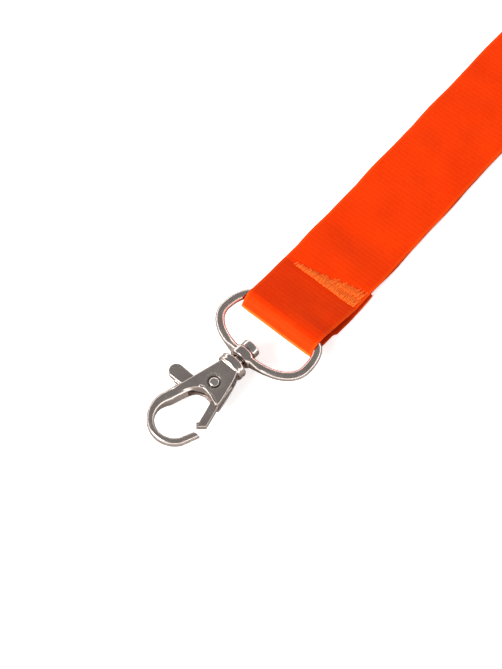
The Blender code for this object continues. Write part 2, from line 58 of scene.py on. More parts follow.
back = Vector((math.sin(CAMERA_AZIMUTH) * math.cos(CAMERA_ELEVATION),
               -math.cos(CAMERA_AZIMUTH) * math.cos(CAMERA_ELEVATION),
               math.sin(CAMERA_ELEVATION)))
right = Vector((math.cos(CAMERA_AZIMUTH), math.sin(CAMERA_AZIMUTH), 0.0))
camera = bpy.data.objects.new("camera", bpy.data.cameras.new("camera"))
camera.matrix_world = (Matrix.Translation(LOOK_AT + back * CAMERA_DISTANCE)
                       @ Matrix((right, back.cross(right), back)).transposed().to_4x4())
camera.data.lens = CAMERA_LENS
camera.data.sensor_width = 36
camera.data.clip_start = 0.01
camera.data.clip_end = 20
bpy.context.scene.collection.objects.link(camera)
bpy.context.scene.camera = camera
bpy.context.scene.view_settings.view_transform = "Standard"


# ---------------------------------------------------------------- studio
# White paper in a dim grey room with a bright horizon: the room keeps the metal's flat faces grey,
# and the horizon draws thin bright lines along its sides. One soft key lamp stands low beyond the
# hook. The metal mirrors a glowing patch of the room in the lamp's place, and not the lamp itself.
FLOOR_SIZE = 6.0
FLOOR_DROP = 0.05 * MM
FLOOR_WHITE = "#f7f6f5"
FLOOR_MIRRORED = "#b9b4b0"
FLOOR_GLOW = 0.7
ROOM = 0.27
HORIZON = 3.4
HORIZON_FROM = 0.11  # sine of the height where the bright horizon starts to fade
HORIZON_TO = 0.31  # and where it has faded into the room
KEY_DIRECTION = Vector((-0.84, 0.26, 0.46)).normalized()
KEY_DISTANCE = 1.4
KEY_SIZE = 0.8
KEY_POWER = 23.3
KEY_PATCH = 6.0  # how much the patch adds to the room
KEY_PATCH_RIM = (0.93, 0.97)  # cosines of the angles where it starts and is full


def linear(hex_colour):
    """An sRGB hex colour as linear RGBA."""
    channels = [int(hex_colour[i:i + 2], 16) / 255 for i in (1, 3, 5)]
    values = [c / 12.92 if c <= 0.04045 else ((c + 0.055) / 1.055) ** 2.4 for c in channels]
    return (*values, 1.0)


def add_node(tree, kind, settings=None, links=None):
    """A node with its settings, and its inputs set from plain values or from other sockets."""
    node = tree.nodes.new(kind)
    for name, value in (settings or {}).items():
        setattr(node, name, value)
    for socket, source in (links or {}).items():
        if isinstance(source, bpy.types.NodeSocket):
            tree.links.new(source, node.inputs[socket])
        else:
            node.inputs[socket].default_value = source
    return node


def new_material(name, **constants):
    """A material and its Principled shader, with the constants set on the shader's own sockets."""
    material = bpy.data.materials.new(name)
    material.use_nodes = True
    shader = material.node_tree.nodes["Principled BSDF"]
    for socket, value in constants.items():
        shader.inputs[socket.replace("_", " ")].default_value = value
    return material, material.node_tree, shader


def ramp(tree, source, stops):
    """A colour ramp over (position, hex colour) stops."""
    node = add_node(tree, "ShaderNodeValToRGB", links={"Fac": source})
    elements = node.color_ramp.elements
    while len(elements) < len(stops):
        elements.new(0.5)
    for element, (position, colour) in zip(elements, stops):
        element.position = position
        element.color = linear(colour)
    return node.outputs["Color"]


world = bpy.data.worlds.new("pale_room")
bpy.context.scene.world = world
world.use_nodes = True
room = world.node_tree
room.nodes.clear()
direction = add_node(room, "ShaderNodeTexCoord")
height = add_node(room, "ShaderNodeSeparateXYZ", links={0: direction.outputs["Generated"]})
fall = add_node(room, "ShaderNodeMapRange", {"interpolation_type": "SMOOTHSTEP"},
                {"Value": height.outputs["Z"], "From Min": HORIZON_FROM,
                 "From Max": HORIZON_TO, "To Min": HORIZON, "To Max": ROOM})
towards_key = add_node(room, "ShaderNodeVectorMath", {"operation": "DOT_PRODUCT"},
                       {0: direction.outputs["Generated"], 1: KEY_DIRECTION})
patch = add_node(room, "ShaderNodeMapRange", {"interpolation_type": "SMOOTHSTEP"},
                 {"Value": towards_key.outputs["Value"], "From Min": KEY_PATCH_RIM[0],
                  "From Max": KEY_PATCH_RIM[1], "To Min": 0.0, "To Max": KEY_PATCH})
glow = add_node(room, "ShaderNodeMath", {"operation": "ADD"},
                {0: fall.outputs["Result"], 1: patch.outputs["Result"]})
lit = add_node(room, "ShaderNodeBackground", links={
    "Color": (1, 1, 1, 1), "Strength": glow.outputs[0]})
seen = add_node(room, "ShaderNodeBackground", links={"Color": (1, 1, 1, 1), "Strength": 1.0})
path = add_node(room, "ShaderNodeLightPath")
mixed = add_node(room, "ShaderNodeMixShader", links={
    0: path.outputs["Is Camera Ray"], 1: lit.outputs[0], 2: seen.outputs[0]})
add_node(room, "ShaderNodeOutputWorld", links={"Surface": mixed.outputs[0]})

key = bpy.data.objects.new("key_lamp", bpy.data.lights.new("key_lamp", "AREA"))
key.data.energy = KEY_POWER
key.data.size = KEY_SIZE
key.location = KEY_DIRECTION * KEY_DISTANCE
key.rotation_mode = "QUATERNION"
key.rotation_quaternion = KEY_DIRECTION.to_track_quat("Z", "Y")
key.visible_camera = False
key.visible_glossy = False
bpy.context.scene.collection.objects.link(key)

# Matt white paper with a faint mottle. It glows a little, so that shadows stay pale, and the metal
# mirrors it greyer than it looks.
floor_paper, tree, shader = new_material("matt_white_paper", Roughness=0.95)
shader.inputs["Specular IOR Level"].default_value = 0.0
spot = add_node(tree, "ShaderNodeTexCoord")
mottle = add_node(tree, "ShaderNodeTexNoise", links={
    "Vector": spot.outputs["Object"], "Scale": 40.0, "Detail": 3.0})
white = ramp(tree, mottle.outputs["Fac"], [(0.3, "#f5f4f3"), (0.7, FLOOR_WHITE)])
path = add_node(tree, "ShaderNodeLightPath")
paper = add_node(tree, "ShaderNodeMix", {"data_type": "RGBA"}, {
    0: path.outputs["Is Camera Ray"], 6: linear(FLOOR_MIRRORED), 7: white})
tree.links.new(paper.outputs[2], shader.inputs["Base Color"])
paper_glow = add_node(tree, "ShaderNodeMath", {"operation": "MULTIPLY"},
                      {0: path.outputs["Is Camera Ray"], 1: FLOOR_GLOW})
tree.links.new(paper_glow.outputs[0], shader.inputs["Emission Strength"])
shader.inputs["Emission Color"].default_value = linear(FLOOR_WHITE)
floor_mesh = bpy.data.meshes.new("floor")
corner = FLOOR_SIZE / 2
corners = [(-corner, -corner), (corner, -corner), (corner, corner), (-corner, corner)]
floor_mesh.from_pydata([(x, y, -FLOOR_DROP) for x, y in corners], [], [(0, 1, 2, 3)])
floor_mesh.materials.append(floor_paper)
floor = bpy.data.objects.new("floor", floor_mesh)
bpy.context.scene.collection.objects.link(floor)


# ---------------------------------------------------------------- ribbon
# One flat strip of grosgrain, woven from polyester with fine ribs across it, and cut with a hot
# knife. It folds round the ring's bar, runs back, and is put away in a flat hank of six layers.
RIBBON_WIDTH = 20 * MM
RIBBON_THICKNESS = 0.5 * MM
LAYER_PITCH = 0.8 * MM
RIBBON_YAW = math.radians(3.0)
RIBBON_SHIFT = -0.3 * MM
FOLD_WIDTH = 19.2 * MM
LOOP_RADIUS = 1.95 * MM  # of the fold that the ring's bar lies in
LIFT = Vector((2.0, 0.25)) * MM  # where the folded tail leaves the floor
LIFT_ROUND = 1.5 * MM
NOSE = Vector((-3.6, 1.45)) * MM  # where it would meet the fold's front slope
CREASE = Vector((-1.2, 4.4)) * MM  # where that slope would meet the upper run
NOSE_ROUND = 1.1 * MM
CREASE_ROUND = 1.5 * MM
SEAM_START = 12.0 * MM
SEAM_LENGTH = 4.6 * MM  # at its wide end
SEAM_NARROW = 0.25  # share of that length at its narrow end
SEAM_RISE = 0.3 * MM  # of the tail over the thread under it
SEAM_PITCH = 0.55 * MM  # between the layers that the seam pulls together
SEAM_RAMP = 2.5 * MM
TAIL_END = 17.6 * MM
TAIL_SHIFT = 0.5 * MM  # the tail peeps out at one edge
TAIL_SHIFT_FROM = 5.2 * MM
LOWER_RUN_START = 11.0 * MM
HANK_START = 100 * MM
HANK_END = 205 * MM
HANK_MIDDLE = (HANK_START + HANK_END) / 2
BAND_HALF = 6.0 * MM
BAND_LIFT = 0.57 * MM  # the band under the hank lifts its lowest layer
BAND_SQUEEZE = 0.1 * MM  # and pulls the layers this much closer together
RIB_PITCH = 1.1 * MM
ACROSS = 16
RIBBON_FRAME = Matrix.Translation((0, RIBBON_SHIFT, 0)) @ Matrix.Rotation(RIBBON_YAW, 4, "Z")

random.seed(7)


def smooth_step(low, high, value):
    t = min(1.0, max(0.0, (value - low) / (high - low)))
    return 3 * t**2 - 2 * t**3


def tail_z(x):
    """Middle of the folded tail: flat, but raised over the thread under the seam."""
    return RIBBON_THICKNESS / 2 + SEAM_RISE * smooth_step(SEAM_START - SEAM_RAMP, SEAM_START, x)


def upper_z(x):
    """Middle of the upper run, from the crease down through the seam to the flat ribbon."""
    seam = tail_z(SEAM_START) + 2 * SEAM_PITCH
    flat = LAYER_PITCH + RIBBON_THICKNESS / 2
    if x < SEAM_START:
        return CREASE.y + (seam - CREASE.y) * (x - CREASE.x) / (SEAM_START - CREASE.x)
    return seam + (flat - seam) * smooth_step(TAIL_END, TAIL_END + RIBBON_WIDTH / 2, x)


def lower_z(x):
    """Middle of the lower run, which the seam pulls close under the upper one."""
    loose = smooth_step(TAIL_END, TAIL_END + RIBBON_WIDTH / 2, x)
    return upper_z(x) - SEAM_PITCH - (LAYER_PITCH - SEAM_PITCH) * loose


def hank_z(layer, x):
    """Middle of a layer of the hank, counted from the floor. The band squeezes them together."""
    squeeze = 1 - smooth_step(BAND_HALF, BAND_HALF + 9 * MM, abs(x - HANK_MIDDLE))
    free = RIBBON_THICKNESS / 2 + layer * LAYER_PITCH
    wave = 0.05 * MM * layer * math.sin((x - HANK_START) / (9 * MM) + layer)
    ends = smooth_step(HANK_START, HANK_START + 12 * MM, x)
    ends *= smooth_step(HANK_END, HANK_END - 12 * MM, x)
    held = BAND_LIFT + RIBBON_THICKNESS / 2 + layer * (LAYER_PITCH - BAND_SQUEEZE)
    return free + (held - free) * squeeze + wave * ends * (1 - squeeze) * 0.5


def stretch(start, end, step):
    """Places from start to end, about a step apart, with both ends."""
    count = max(1, round(abs(end - start) / step))
    return [start + (end - start) * i / count for i in range(count + 1)]


def half_round(centre_x, centre_z, radius, turn, steps):
    """Points of a half round fold from low to high. Turn is 1 where it bulges towards +X."""
    angles = [math.radians(-90 + 180 * i / steps) for i in range(1, steps)]
    return [(centre_x + turn * radius * math.cos(a), centre_z + radius * math.sin(a)) for a in angles]


def bend(before, corner, after, size, steps):
    """A soft bend in place of a corner, as points that start and end that far from it."""
    start = corner + (before - corner).normalized() * size
    end = corner + (after - corner).normalized() * size
    shares = [i / steps for i in range(steps + 1)]
    return [tuple(start * (1 - t)**2 + corner * 2 * t * (1 - t) + end * t**2) for t in shares]


def ribbon_route():
    """The whole strip's middle line as (x, z, zone), from the cut tail to the lower run's end."""
    tail = [(x, tail_z(x)) for x in stretch(TAIL_END, LIFT.x + LIFT_ROUND + 0.3 * MM, 0.5 * MM)]
    seam = Vector((SEAM_START, upper_z(SEAM_START)))
    front = bend(Vector((TAIL_END, LIFT.y)), LIFT, NOSE, LIFT_ROUND, 6)
    front += bend(LIFT, NOSE, CREASE, NOSE_ROUND, 12)
    front += bend(NOSE, CREASE, seam, CREASE_ROUND, 8)
    upper = [(x, upper_z(x)) for x in stretch(0.1 * MM, 30 * MM, 0.45 * MM)]
    upper += [(x, upper_z(x)) for x in stretch(31 * MM, HANK_START - 1 * MM, 1 * MM)]
    inner_back = HANK_END - 1.8 * MM
    inner_front = HANK_START + 0.7 * MM
    outer_back = HANK_END - 2.3 * MM
    hank = []
    for layer in (1, 2, 3, 4, 5):
        back_end = outer_back if layer == 5 else inner_back
        front_end = HANK_START if layer == 1 else inner_front
        ends = (front_end, back_end) if layer % 2 else (back_end, front_end)
        hank += [(x, hank_z(layer, x)) for x in stretch(*ends, 2 * MM)]
        if layer < 5:
            z = (hank_z(layer, ends[1]) + hank_z(layer + 1, ends[1])) / 2
            hank += half_round(ends[1], z, LAYER_PITCH / 2, 1 if layer % 2 else -1, 6)
    low, high = hank_z(0, outer_back), hank_z(5, outer_back)
    hank += half_round(outer_back, (low + high) / 2, (high - low) / 2, 1, 14)[::-1]
    hank += [(x, hank_z(0, x)) for x in stretch(outer_back, HANK_START, 2 * MM)]
    lower = [(x, lower_z(x)) for x in stretch(HANK_START - 1.5 * MM, LOWER_RUN_START, 1.2 * MM)]
    zones = (("tail", tail), ("fold", front), ("upper", upper), ("hank", hank), ("lower", lower))
    return [(x, z, zone) for zone, points in zones for x, z in points]


def tack_share(x, y):
    """How much a place lies under the bar tack, which widens towards the -Y edge."""
    across = smooth_step(8.4 * MM, -9.6 * MM, y)
    far = SEAM_START + SEAM_LENGTH * (SEAM_NARROW + (1 - SEAM_NARROW) * across)
    inside = smooth_step(SEAM_START - 0.5 * MM, SEAM_START + 0.3 * MM, x)
    inside *= smooth_step(far + 0.8 * MM, far - 0.3 * MM, x)
    return inside * smooth_step(9.4 * MM, 8.0 * MM, y)


def upper_dents(x, y):
    """Height of the dents, gathers and ripples in the upper run: the stitches pull it down, small
    gathers run out from them, and the cloth is slack behind the fold and just past the seam."""
    near = math.exp(-((x - SEAM_START - 1.5 * MM) / (3.2 * MM)) ** 2)
    gather = math.sin(y / (0.42 * MM) + 2.2 * math.sin(x / (1.1 * MM)))
    swell = 0.125 * MM * math.exp(-((x - 20 * MM) / (4 * MM)) ** 2) * math.cos(y / (7 * MM))
    ripple = noise.noise(Vector((x * 160, y * 210, 0.3))) * 0.22 * MM * smooth_step(2 * MM, 8 * MM, x)
    slack = 0.22 * MM * math.exp(-((x - 1.8 * MM) / (1.6 * MM)) ** 2) * smooth_step(6 * MM, -8 * MM, y)
    dent = -0.12 * MM * tack_share(x, y)
    return dent + 0.03 * MM * near * gather + swell + ripple + slack


def strip_section(x, z, zone, along, length):
    """The points round the strip at one place of its route: across one face and back on the other."""
    normal = Vector((-along.z, 0, along.x))
    gathered = 1 - smooth_step(0, SEAM_START, x)
    half = (RIBBON_WIDTH + (FOLD_WIDTH - RIBBON_WIDTH) * gathered) / 2
    slip = 0.0
    if zone == "tail":
        slip = -TAIL_SHIFT * smooth_step(TAIL_SHIFT_FROM - 0.6 * MM, TAIL_SHIFT_FROM, x)
    wander = 0.12 * MM * math.sin(length / (6.5 * MM)) + 0.06 * MM * math.sin(length / (2.3 * MM))
    points = []
    for side in (1, -1):
        for k in range(ACROSS + 1):
            share = 1 - 2 * k / ACROSS
            y = side * share * half
            rounding = 0.4 * abs(share) ** 14
            lift = normal * side * RIBBON_THICKNESS / 2 * (1 - rounding)
            scallop = math.copysign(wander * abs(share) ** 8, y)
            spot = Vector((x, y + slip + scallop, z)) + lift
            if zone == "upper":
                spot.z += upper_dents(x, y)
            points.append(RIBBON_FRAME @ spot)
    return points


def place_across(k):
    """How far from the strip's middle a point of its section lies."""
    share = 1 - 2 * (k % (ACROSS + 1)) / ACROSS
    return RIBBON_WIDTH / 2 * share * (1 if k <= ACROSS else -1)


def ribbon_mesh():
    """A closed strip along the route: two woven faces and two rounded edges. Its UV map holds the
    place across and along the strip, in metres, for the weave."""
    steps = ribbon_route()
    route = [Vector((x, 0, z)) for x, z, zone in steps]
    last = len(route) - 1
    bm = bmesh.new()
    place = bm.loops.layers.uv.new("weave")
    rows, lengths = [], []
    length = 0.0
    for i, (x, z, zone) in enumerate(steps):
        if i:
            length += (route[i] - route[i - 1]).length
        along = (route[min(i + 1, last)] - route[max(i - 1, 0)]).normalized()
        rows.append([bm.verts.new(point) for point in strip_section(x, z, zone, along, length)])
        lengths.append(length)
    count = len(rows[0])
    for i in range(last):
        for k in range(count):
            j = (k + 1) % count
            face = bm.faces.new((rows[i][k], rows[i][j], rows[i + 1][j], rows[i + 1][k]))
            for loop, (row, point) in zip(face.loops, ((i, k), (i, j), (i + 1, j), (i + 1, k))):
                loop[place].uv = (place_across(point), lengths[row])
    for row, distance in ((rows[0][::-1], lengths[0]), (rows[-1], lengths[-1])):
        face = bm.faces.new(row)
        for loop in face.loops:
            loop[place].uv = (0.0, distance)
    bmesh.ops.recalc_face_normals(bm, faces=bm.faces)
    mesh = bpy.data.meshes.new("ribbon_strap")
    bm.to_mesh(mesh)
    bm.free()
    return mesh, length


def new_piece(name, mesh, material, body, smooth_degrees=40):
    """Links a mesh as a piece that rides on a body, shaded smooth, with the given material."""
    piece = bpy.data.objects.new(name, mesh)
    bpy.context.scene.collection.objects.link(piece)
    mesh.materials.clear()
    mesh.materials.append(material)
    mesh.shade_smooth()
    mesh.set_sharp_from_angle(angle=math.radians(smooth_degrees))
    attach(piece, body)
    return piece


# Woven polyester: saturated and nearly matt. Painted light on the ribs' crowns and painted shade,
# a deeper red, in the grooves between them. The real ribs are finer than 1.1 mm, which would not
# show. The selvedges are a little yellower, and a painted highlight runs along the fold's front bend.
ribbon_cloth, tree, shader = new_material("grosgrain_polyester", Roughness=0.62)
shader.inputs["Specular IOR Level"].default_value = 0.05
weave = add_node(tree, "ShaderNodeUVMap", {"uv_map": "weave"})
parts = add_node(tree, "ShaderNodeSeparateXYZ", links={0: weave.outputs["UV"]})
wobble = add_node(tree, "ShaderNodeTexNoise", {"noise_dimensions": "2D"},
                  {"Vector": weave.outputs["UV"], "Scale": 450.0, "Detail": 2.0})
phase = add_node(tree, "ShaderNodeMath", {"operation": "MULTIPLY"},
                 {0: parts.outputs["Y"], 1: math.tau / RIB_PITCH})
phase = add_node(tree, "ShaderNodeMath", {"operation": "MULTIPLY_ADD"},
                 {0: wobble.outputs["Fac"], 1: 1.6, 2: phase.outputs[0]})
rib = add_node(tree, "ShaderNodeMath", {"operation": "SINE"}, {0: phase.outputs[0]})
rib = add_node(tree, "ShaderNodeMapRange", links={
    "Value": rib.outputs[0], "From Min": -1.0, "From Max": 1.0})
warp_place = add_node(tree, "ShaderNodeMapping", links={
    "Vector": weave.outputs["UV"], "Scale": (2600.0, 700.0, 1.0)})
warp = add_node(tree, "ShaderNodeTexNoise", {"noise_dimensions": "2D"},
                {"Vector": warp_place.outputs[0], "Scale": 1.0, "Detail": 2.0, "Roughness": 0.6})
cloud = add_node(tree, "ShaderNodeTexNoise", {"noise_dimensions": "2D"},
                 {"Vector": weave.outputs["UV"], "Scale": 90.0, "Detail": 3.0})
# painted light and shade: the ribs' crowns lighter, the grooves between them darker
painted_rib_light = ramp(tree, rib.outputs["Result"], [(0.0, "#e53002"), (0.4, "#ee3603"), (1.0, "#f03a04")])
tint = ramp(tree, cloud.outputs["Fac"], [(0.3, "#ea3402"), (0.7, "#f23f05")])
colour = add_node(tree, "ShaderNodeMix", {"data_type": "RGBA"}, {0: 0.45, 6: painted_rib_light, 7: tint})
fibre = ramp(tree, warp.outputs["Fac"], [(0.35, "#ec3402"), (0.65, "#f5450a")])
colour = add_node(tree, "ShaderNodeMix", {"data_type": "RGBA"},
                  {0: 0.25, 6: colour.outputs[2], 7: fibre})
away = add_node(tree, "ShaderNodeMath", {"operation": "ABSOLUTE"}, {0: parts.outputs["X"]})
selvedge = add_node(tree, "ShaderNodeMapRange", {"interpolation_type": "SMOOTHSTEP"},
                    {"Value": away.outputs[0], "From Min": 9.1 * MM, "From Max": 9.9 * MM,
                     "To Min": 0.0, "To Max": 0.6})
colour = add_node(tree, "ShaderNodeMix", {"data_type": "RGBA"},
                  {0: selvedge.outputs["Result"], 6: colour.outputs[2], 7: linear("#f55312")})
# painted highlight: a bright line across the ribbon at the fold's front bend
from_fold = add_node(tree, "ShaderNodeMath", {"operation": "SUBTRACT"},
                     {0: parts.outputs["Y"], 1: TAIL_END - NOSE.x - 0.3 * MM})
from_fold = add_node(tree, "ShaderNodeMath", {"operation": "ABSOLUTE"}, {0: from_fold.outputs[0]})
painted_fold_highlight = add_node(tree, "ShaderNodeMapRange", {"interpolation_type": "SMOOTHSTEP"},
                {"Value": from_fold.outputs[0], "From Min": 0.3 * MM, "From Max": 1.0 * MM,
                 "To Min": 0.85, "To Max": 0.0})
colour = add_node(tree, "ShaderNodeMix", {"data_type": "RGBA"},
                  {0: painted_fold_highlight.outputs["Result"], 6: colour.outputs[2], 7: linear("#ff8a34")})
tree.links.new(colour.outputs[2], shader.inputs["Base Color"])
relief = add_node(tree, "ShaderNodeMath", {"operation": "MULTIPLY_ADD"},
                  {0: warp.outputs["Fac"], 1: 0.45, 2: rib.outputs["Result"]})
bump = add_node(tree, "ShaderNodeBump", links={
    "Height": relief.outputs[0], "Strength": 0.35, "Distance": 0.06 * MM})
tree.links.new(bump.outputs["Normal"], shader.inputs["Normal"])

strap_mesh, strap_length = ribbon_mesh()
strap = new_piece("ribbon_strap", strap_mesh, ribbon_cloth, "ribbon", 60)
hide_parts("ribbon_front_run", "ribbon_back_run", "ribbon_hank")


# ---------------------------------------------------------------- bar tack
# Polyester thread, sewn back and forth through the ribbon's layers on a zigzag machine. The
# stitches get longer from one edge to the other, and a second pass lies in a tight row at the front.
# The same seam shows on the underside.
THREAD_DIAMETER = 0.22 * MM
TACK_FROM_Y = 6.7 * MM
TACK_TO_Y = -9.5 * MM
TACK_PITCH = 0.29 * MM
STITCH_LENGTH = 2.2 * MM  # longer zigzags are sewn in steps of about this
BEAD_PITCH = 0.5 * MM  # of the second pass
BEAD_LIFT = 0.08 * MM  # it lies on the first


def tube_rings(points, radius, sides):
    """Rings round a line of points, each square to the line, with no twist between them."""
    rings = []
    side = Vector((0, 0, 1))
    for i, point in enumerate(points):
        along = (points[min(i + 1, len(points) - 1)] - points[max(i - 1, 0)]).normalized()
        side = (side - along * side.dot(along)).normalized()
        other = along.cross(side)
        angles = [math.tau * k / sides for k in range(sides)]
        rings.append([point + (side * math.cos(a) + other * math.sin(a)) * radius for a in angles])
    return rings


def add_skin(bm, rings, closed=False):
    """A skin over rings of points, with a flat cap at each end unless it is closed."""
    rows = [[bm.verts.new(point) for point in ring] for ring in rings]
    pairs = list(zip(rows, rows[1:]))
    if closed:
        pairs.append((rows[-1], rows[0]))
    for row, after in pairs:
        for k in range(len(row)):
            j = (k + 1) % len(row)
            bm.faces.new((row[k], row[j], after[j], after[k]))
    if not closed:
        bm.faces.new(rows[0][::-1])
        bm.faces.new(rows[-1])


def mesh_of(name, bm):
    bmesh.ops.recalc_face_normals(bm, faces=bm.faces)
    mesh = bpy.data.meshes.new(name)
    bm.to_mesh(mesh)
    bm.free()
    return mesh


def stitch_points(start, end, height_of):
    """One stitch as five points that arch a little and dive into the cloth at both ends."""
    points = []
    for i in range(5):
        t = i / 4
        spot = start.lerp(end, t)
        arch = 0.10 * MM * math.sin(math.pi * t) ** 0.5 - 0.02 * MM
        points.append(RIBBON_FRAME @ Vector((spot.x, spot.y, height_of(spot.x, spot.y) + arch)))
    return points


def tack_mesh(name, height_of):
    """The whole seam on one side of the ribbon. height_of(x, y) is the cloth that it lies on."""
    bm = bmesh.new()
    count = round((TACK_FROM_Y - TACK_TO_Y) / TACK_PITCH)
    for i in range(count):
        y = TACK_FROM_Y - TACK_PITCH * i
        across = smooth_step(TACK_FROM_Y, TACK_TO_Y, y)
        far = SEAM_START + SEAM_LENGTH * (SEAM_NARROW + (1 - SEAM_NARROW) * across)
        far += random.uniform(-0.6, 0.3) * MM
        near = SEAM_START + random.uniform(-0.15, 0.25) * MM
        steps = max(1, round((far - near) / STITCH_LENGTH))
        for step in range(steps):
            start_x = near + (far - near) * step / steps
            end_x = near + (far - near) * (step + 1) / steps
            start = Vector((start_x, y + random.uniform(-0.06, 0.06) * MM))
            end = Vector((end_x, y - TACK_PITCH * 0.9))
            add_skin(bm, tube_rings(stitch_points(start, end, height_of), THREAD_DIAMETER / 2, 6))
    for i in range(round((TACK_FROM_Y - TACK_TO_Y) / BEAD_PITCH)):
        y = TACK_FROM_Y + 0.3 * MM - BEAD_PITCH * i
        start = Vector((SEAM_START - 0.1 * MM, y + random.uniform(0.1, 0.35) * MM))
        end = Vector((SEAM_START + random.uniform(0.8, 1.3) * MM, y - random.uniform(0.1, 0.4) * MM))
        lifted = [p + Vector((0, 0, BEAD_LIFT)) for p in stitch_points(start, end, height_of)]
        add_skin(bm, tube_rings(lifted, THREAD_DIAMETER * 0.6, 6))
    return mesh_of(name, bm)


# Sewing thread: yellower and a little smoother than the ribbon, with fine uneven marks from its
# twist.
thread_material, tree, shader = new_material("polyester_thread", Roughness=0.5)
shader.inputs["Specular IOR Level"].default_value = 0.08
spot = add_node(tree, "ShaderNodeTexCoord")
twist = add_node(tree, "ShaderNodeTexNoise", links={
    "Vector": spot.outputs["Object"], "Scale": 2600.0, "Detail": 2.0})
tree.links.new(ramp(tree, twist.outputs["Fac"], [(0.3, "#fa5c1a"), (0.7, "#ff8c38")]),
               shader.inputs["Base Color"])
twist_bump = add_node(tree, "ShaderNodeBump", links={
    "Height": twist.outputs["Fac"], "Strength": 0.4, "Distance": 0.04 * MM})
tree.links.new(twist_bump.outputs["Normal"], shader.inputs["Normal"])


def upper_surface(x, y):
    return upper_z(x) + RIBBON_THICKNESS / 2 + upper_dents(x, y) + THREAD_DIAMETER * 0.2


def tail_underside(x, y):
    return tail_z(x) - RIBBON_THICKNESS / 2 - THREAD_DIAMETER * 0.7


needle = new_piece("tack_needle_stitches", tack_mesh("tack_needle_stitches", upper_surface),
                   thread_material, "ribbon")
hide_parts("tack_needle_thread")
bobbin = new_piece("tack_bobbin_stitches", tack_mesh("tack_bobbin_stitches", tail_underside),
                   thread_material, "ribbon")
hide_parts("tack_bobbin_thread")


# ---------------------------------------------------------------- hank band
# A flat knitted elastic band, off-white. It is one closed loop that goes all the way round the hank
# and holds its layers.
BAND_THICKNESS = 0.5 * MM
BAND_CORNER = 0.6 * MM
BAND_HOLLOW = 0.06 * MM  # how much its sides draw in at its two rims
BAND_RIB = 1.0 * MM
BAND_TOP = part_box("hank_band")[1].z


def band_outline(grow, steps=6):
    """The band's inner or outer outline as (y, z), in the ribbon's own frame."""
    half = RIBBON_WIDTH / 2 + 0.3 * MM
    low, high = BAND_THICKNESS, BAND_TOP - BAND_THICKNESS
    corners = [(half, high, 0), (-half, high, 90), (-half, low, 180), (half, low, 270)]
    points = []
    for y, z, start in corners:
        centre_y = y - math.copysign(BAND_CORNER, y)
        centre_z = z + (BAND_CORNER if z == low else -BAND_CORNER)
        for i in range(steps + 1):
            angle = math.radians(start + 90 * i / steps)
            points.append((centre_y + (BAND_CORNER + grow) * math.cos(angle),
                           centre_z + (BAND_CORNER + grow) * math.sin(angle)))
    return points


def band_mesh():
    bm = bmesh.new()
    inner, outer = band_outline(0.0), band_outline(BAND_THICKNESS)
    steps = 12
    rings = []
    for (iy, iz), (oy, oz) in zip(inner, outer):
        ring = []
        for k in range(steps + 1):
            x = HANK_MIDDLE + BAND_HALF * (1 - 2 * k / steps)
            drawn_in = BAND_HOLLOW * (2 * k / steps - 1) ** 8
            ring.append((x, oy - math.copysign(drawn_in, oy), oz))
        for k in range(steps + 1):
            x = HANK_MIDDLE - BAND_HALF * (1 - 2 * k / steps)
            ring.append((x, iy, iz))
        rings.append([RIBBON_FRAME @ Vector(point) for point in ring])
    add_skin(bm, rings, closed=True)
    return mesh_of("hank_band_knit", bm)


# Knitted elastic: matt off-white, with soft cords that run round it, one every millimetre.
band_material, tree, shader = new_material("knitted_elastic", Roughness=0.85)
shader.inputs["Specular IOR Level"].default_value = 0.2
spot = add_node(tree, "ShaderNodeTexCoord")
parts = add_node(tree, "ShaderNodeSeparateXYZ", links={0: spot.outputs["Object"]})
cord = add_node(tree, "ShaderNodeMath", {"operation": "MULTIPLY"},
                {0: parts.outputs["X"], 1: math.tau / BAND_RIB})
cord = add_node(tree, "ShaderNodeMath", {"operation": "SINE"}, {0: cord.outputs[0]})
fuzz = add_node(tree, "ShaderNodeTexNoise", links={
    "Vector": spot.outputs["Object"], "Scale": 1800.0, "Detail": 3.0})
knit = add_node(tree, "ShaderNodeMath", {"operation": "MULTIPLY_ADD"},
                {0: fuzz.outputs["Fac"], 1: 1.2, 2: cord.outputs[0]})
shade = add_node(tree, "ShaderNodeMapRange", links={
    "Value": knit.outputs[0], "From Min": -1.0, "From Max": 2.0})
tree.links.new(ramp(tree, shade.outputs["Result"], [(0.1, "#cfcac2"), (0.8, "#efece6")]),
               shader.inputs["Base Color"])
knit_bump = add_node(tree, "ShaderNodeBump", links={
    "Height": knit.outputs[0], "Strength": 0.6, "Distance": 0.06 * MM})
tree.links.new(knit_bump.outputs["Normal"], shader.inputs["Normal"])

band = new_piece("hank_band_knit", band_mesh(), band_material, "ribbon", 50)
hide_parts("hank_band")


# ---------------------------------------------------------------- ring
# Zinc alloy, cast in one with the boss that the swivel pin turns in, barrel polished and nickel
# plated. Its straight bar lies in the ribbon's fold.
RING_WIRE = 2.1 * MM
RING_HALF_WIDTH = 11.58 * MM
RING_SHIFT = -0.33 * MM
RING_FRONT = 13.2 * MM
RING_SIDE_X = 6.2 * MM
RING_CORNER_WIDTH = 3.0 * MM
RING_BOW_REACH = 6.8 * MM
RING_BOW_POWER = 2.2
BOSS_LENGTH = 2.4 * MM
BOSS_DIAMETER = 5.4 * MM
BOSS_FLARE = 5.5 * MM
BOSS_EDGE = 0.55 * MM
PIN_DIAMETER = 2.4 * MM
BORE_CLEARANCE = 0.3 * MM
PIN_BORE_RADIUS = PIN_DIAMETER / 2 + BORE_CLEARANCE
BAR_Z = RIBBON_THICKNESS + LOOP_RADIUS
AXIS_Z = 3.3 * MM  # height of the line that the hook swivels on
CAST_VOXEL = 0.1 * MM


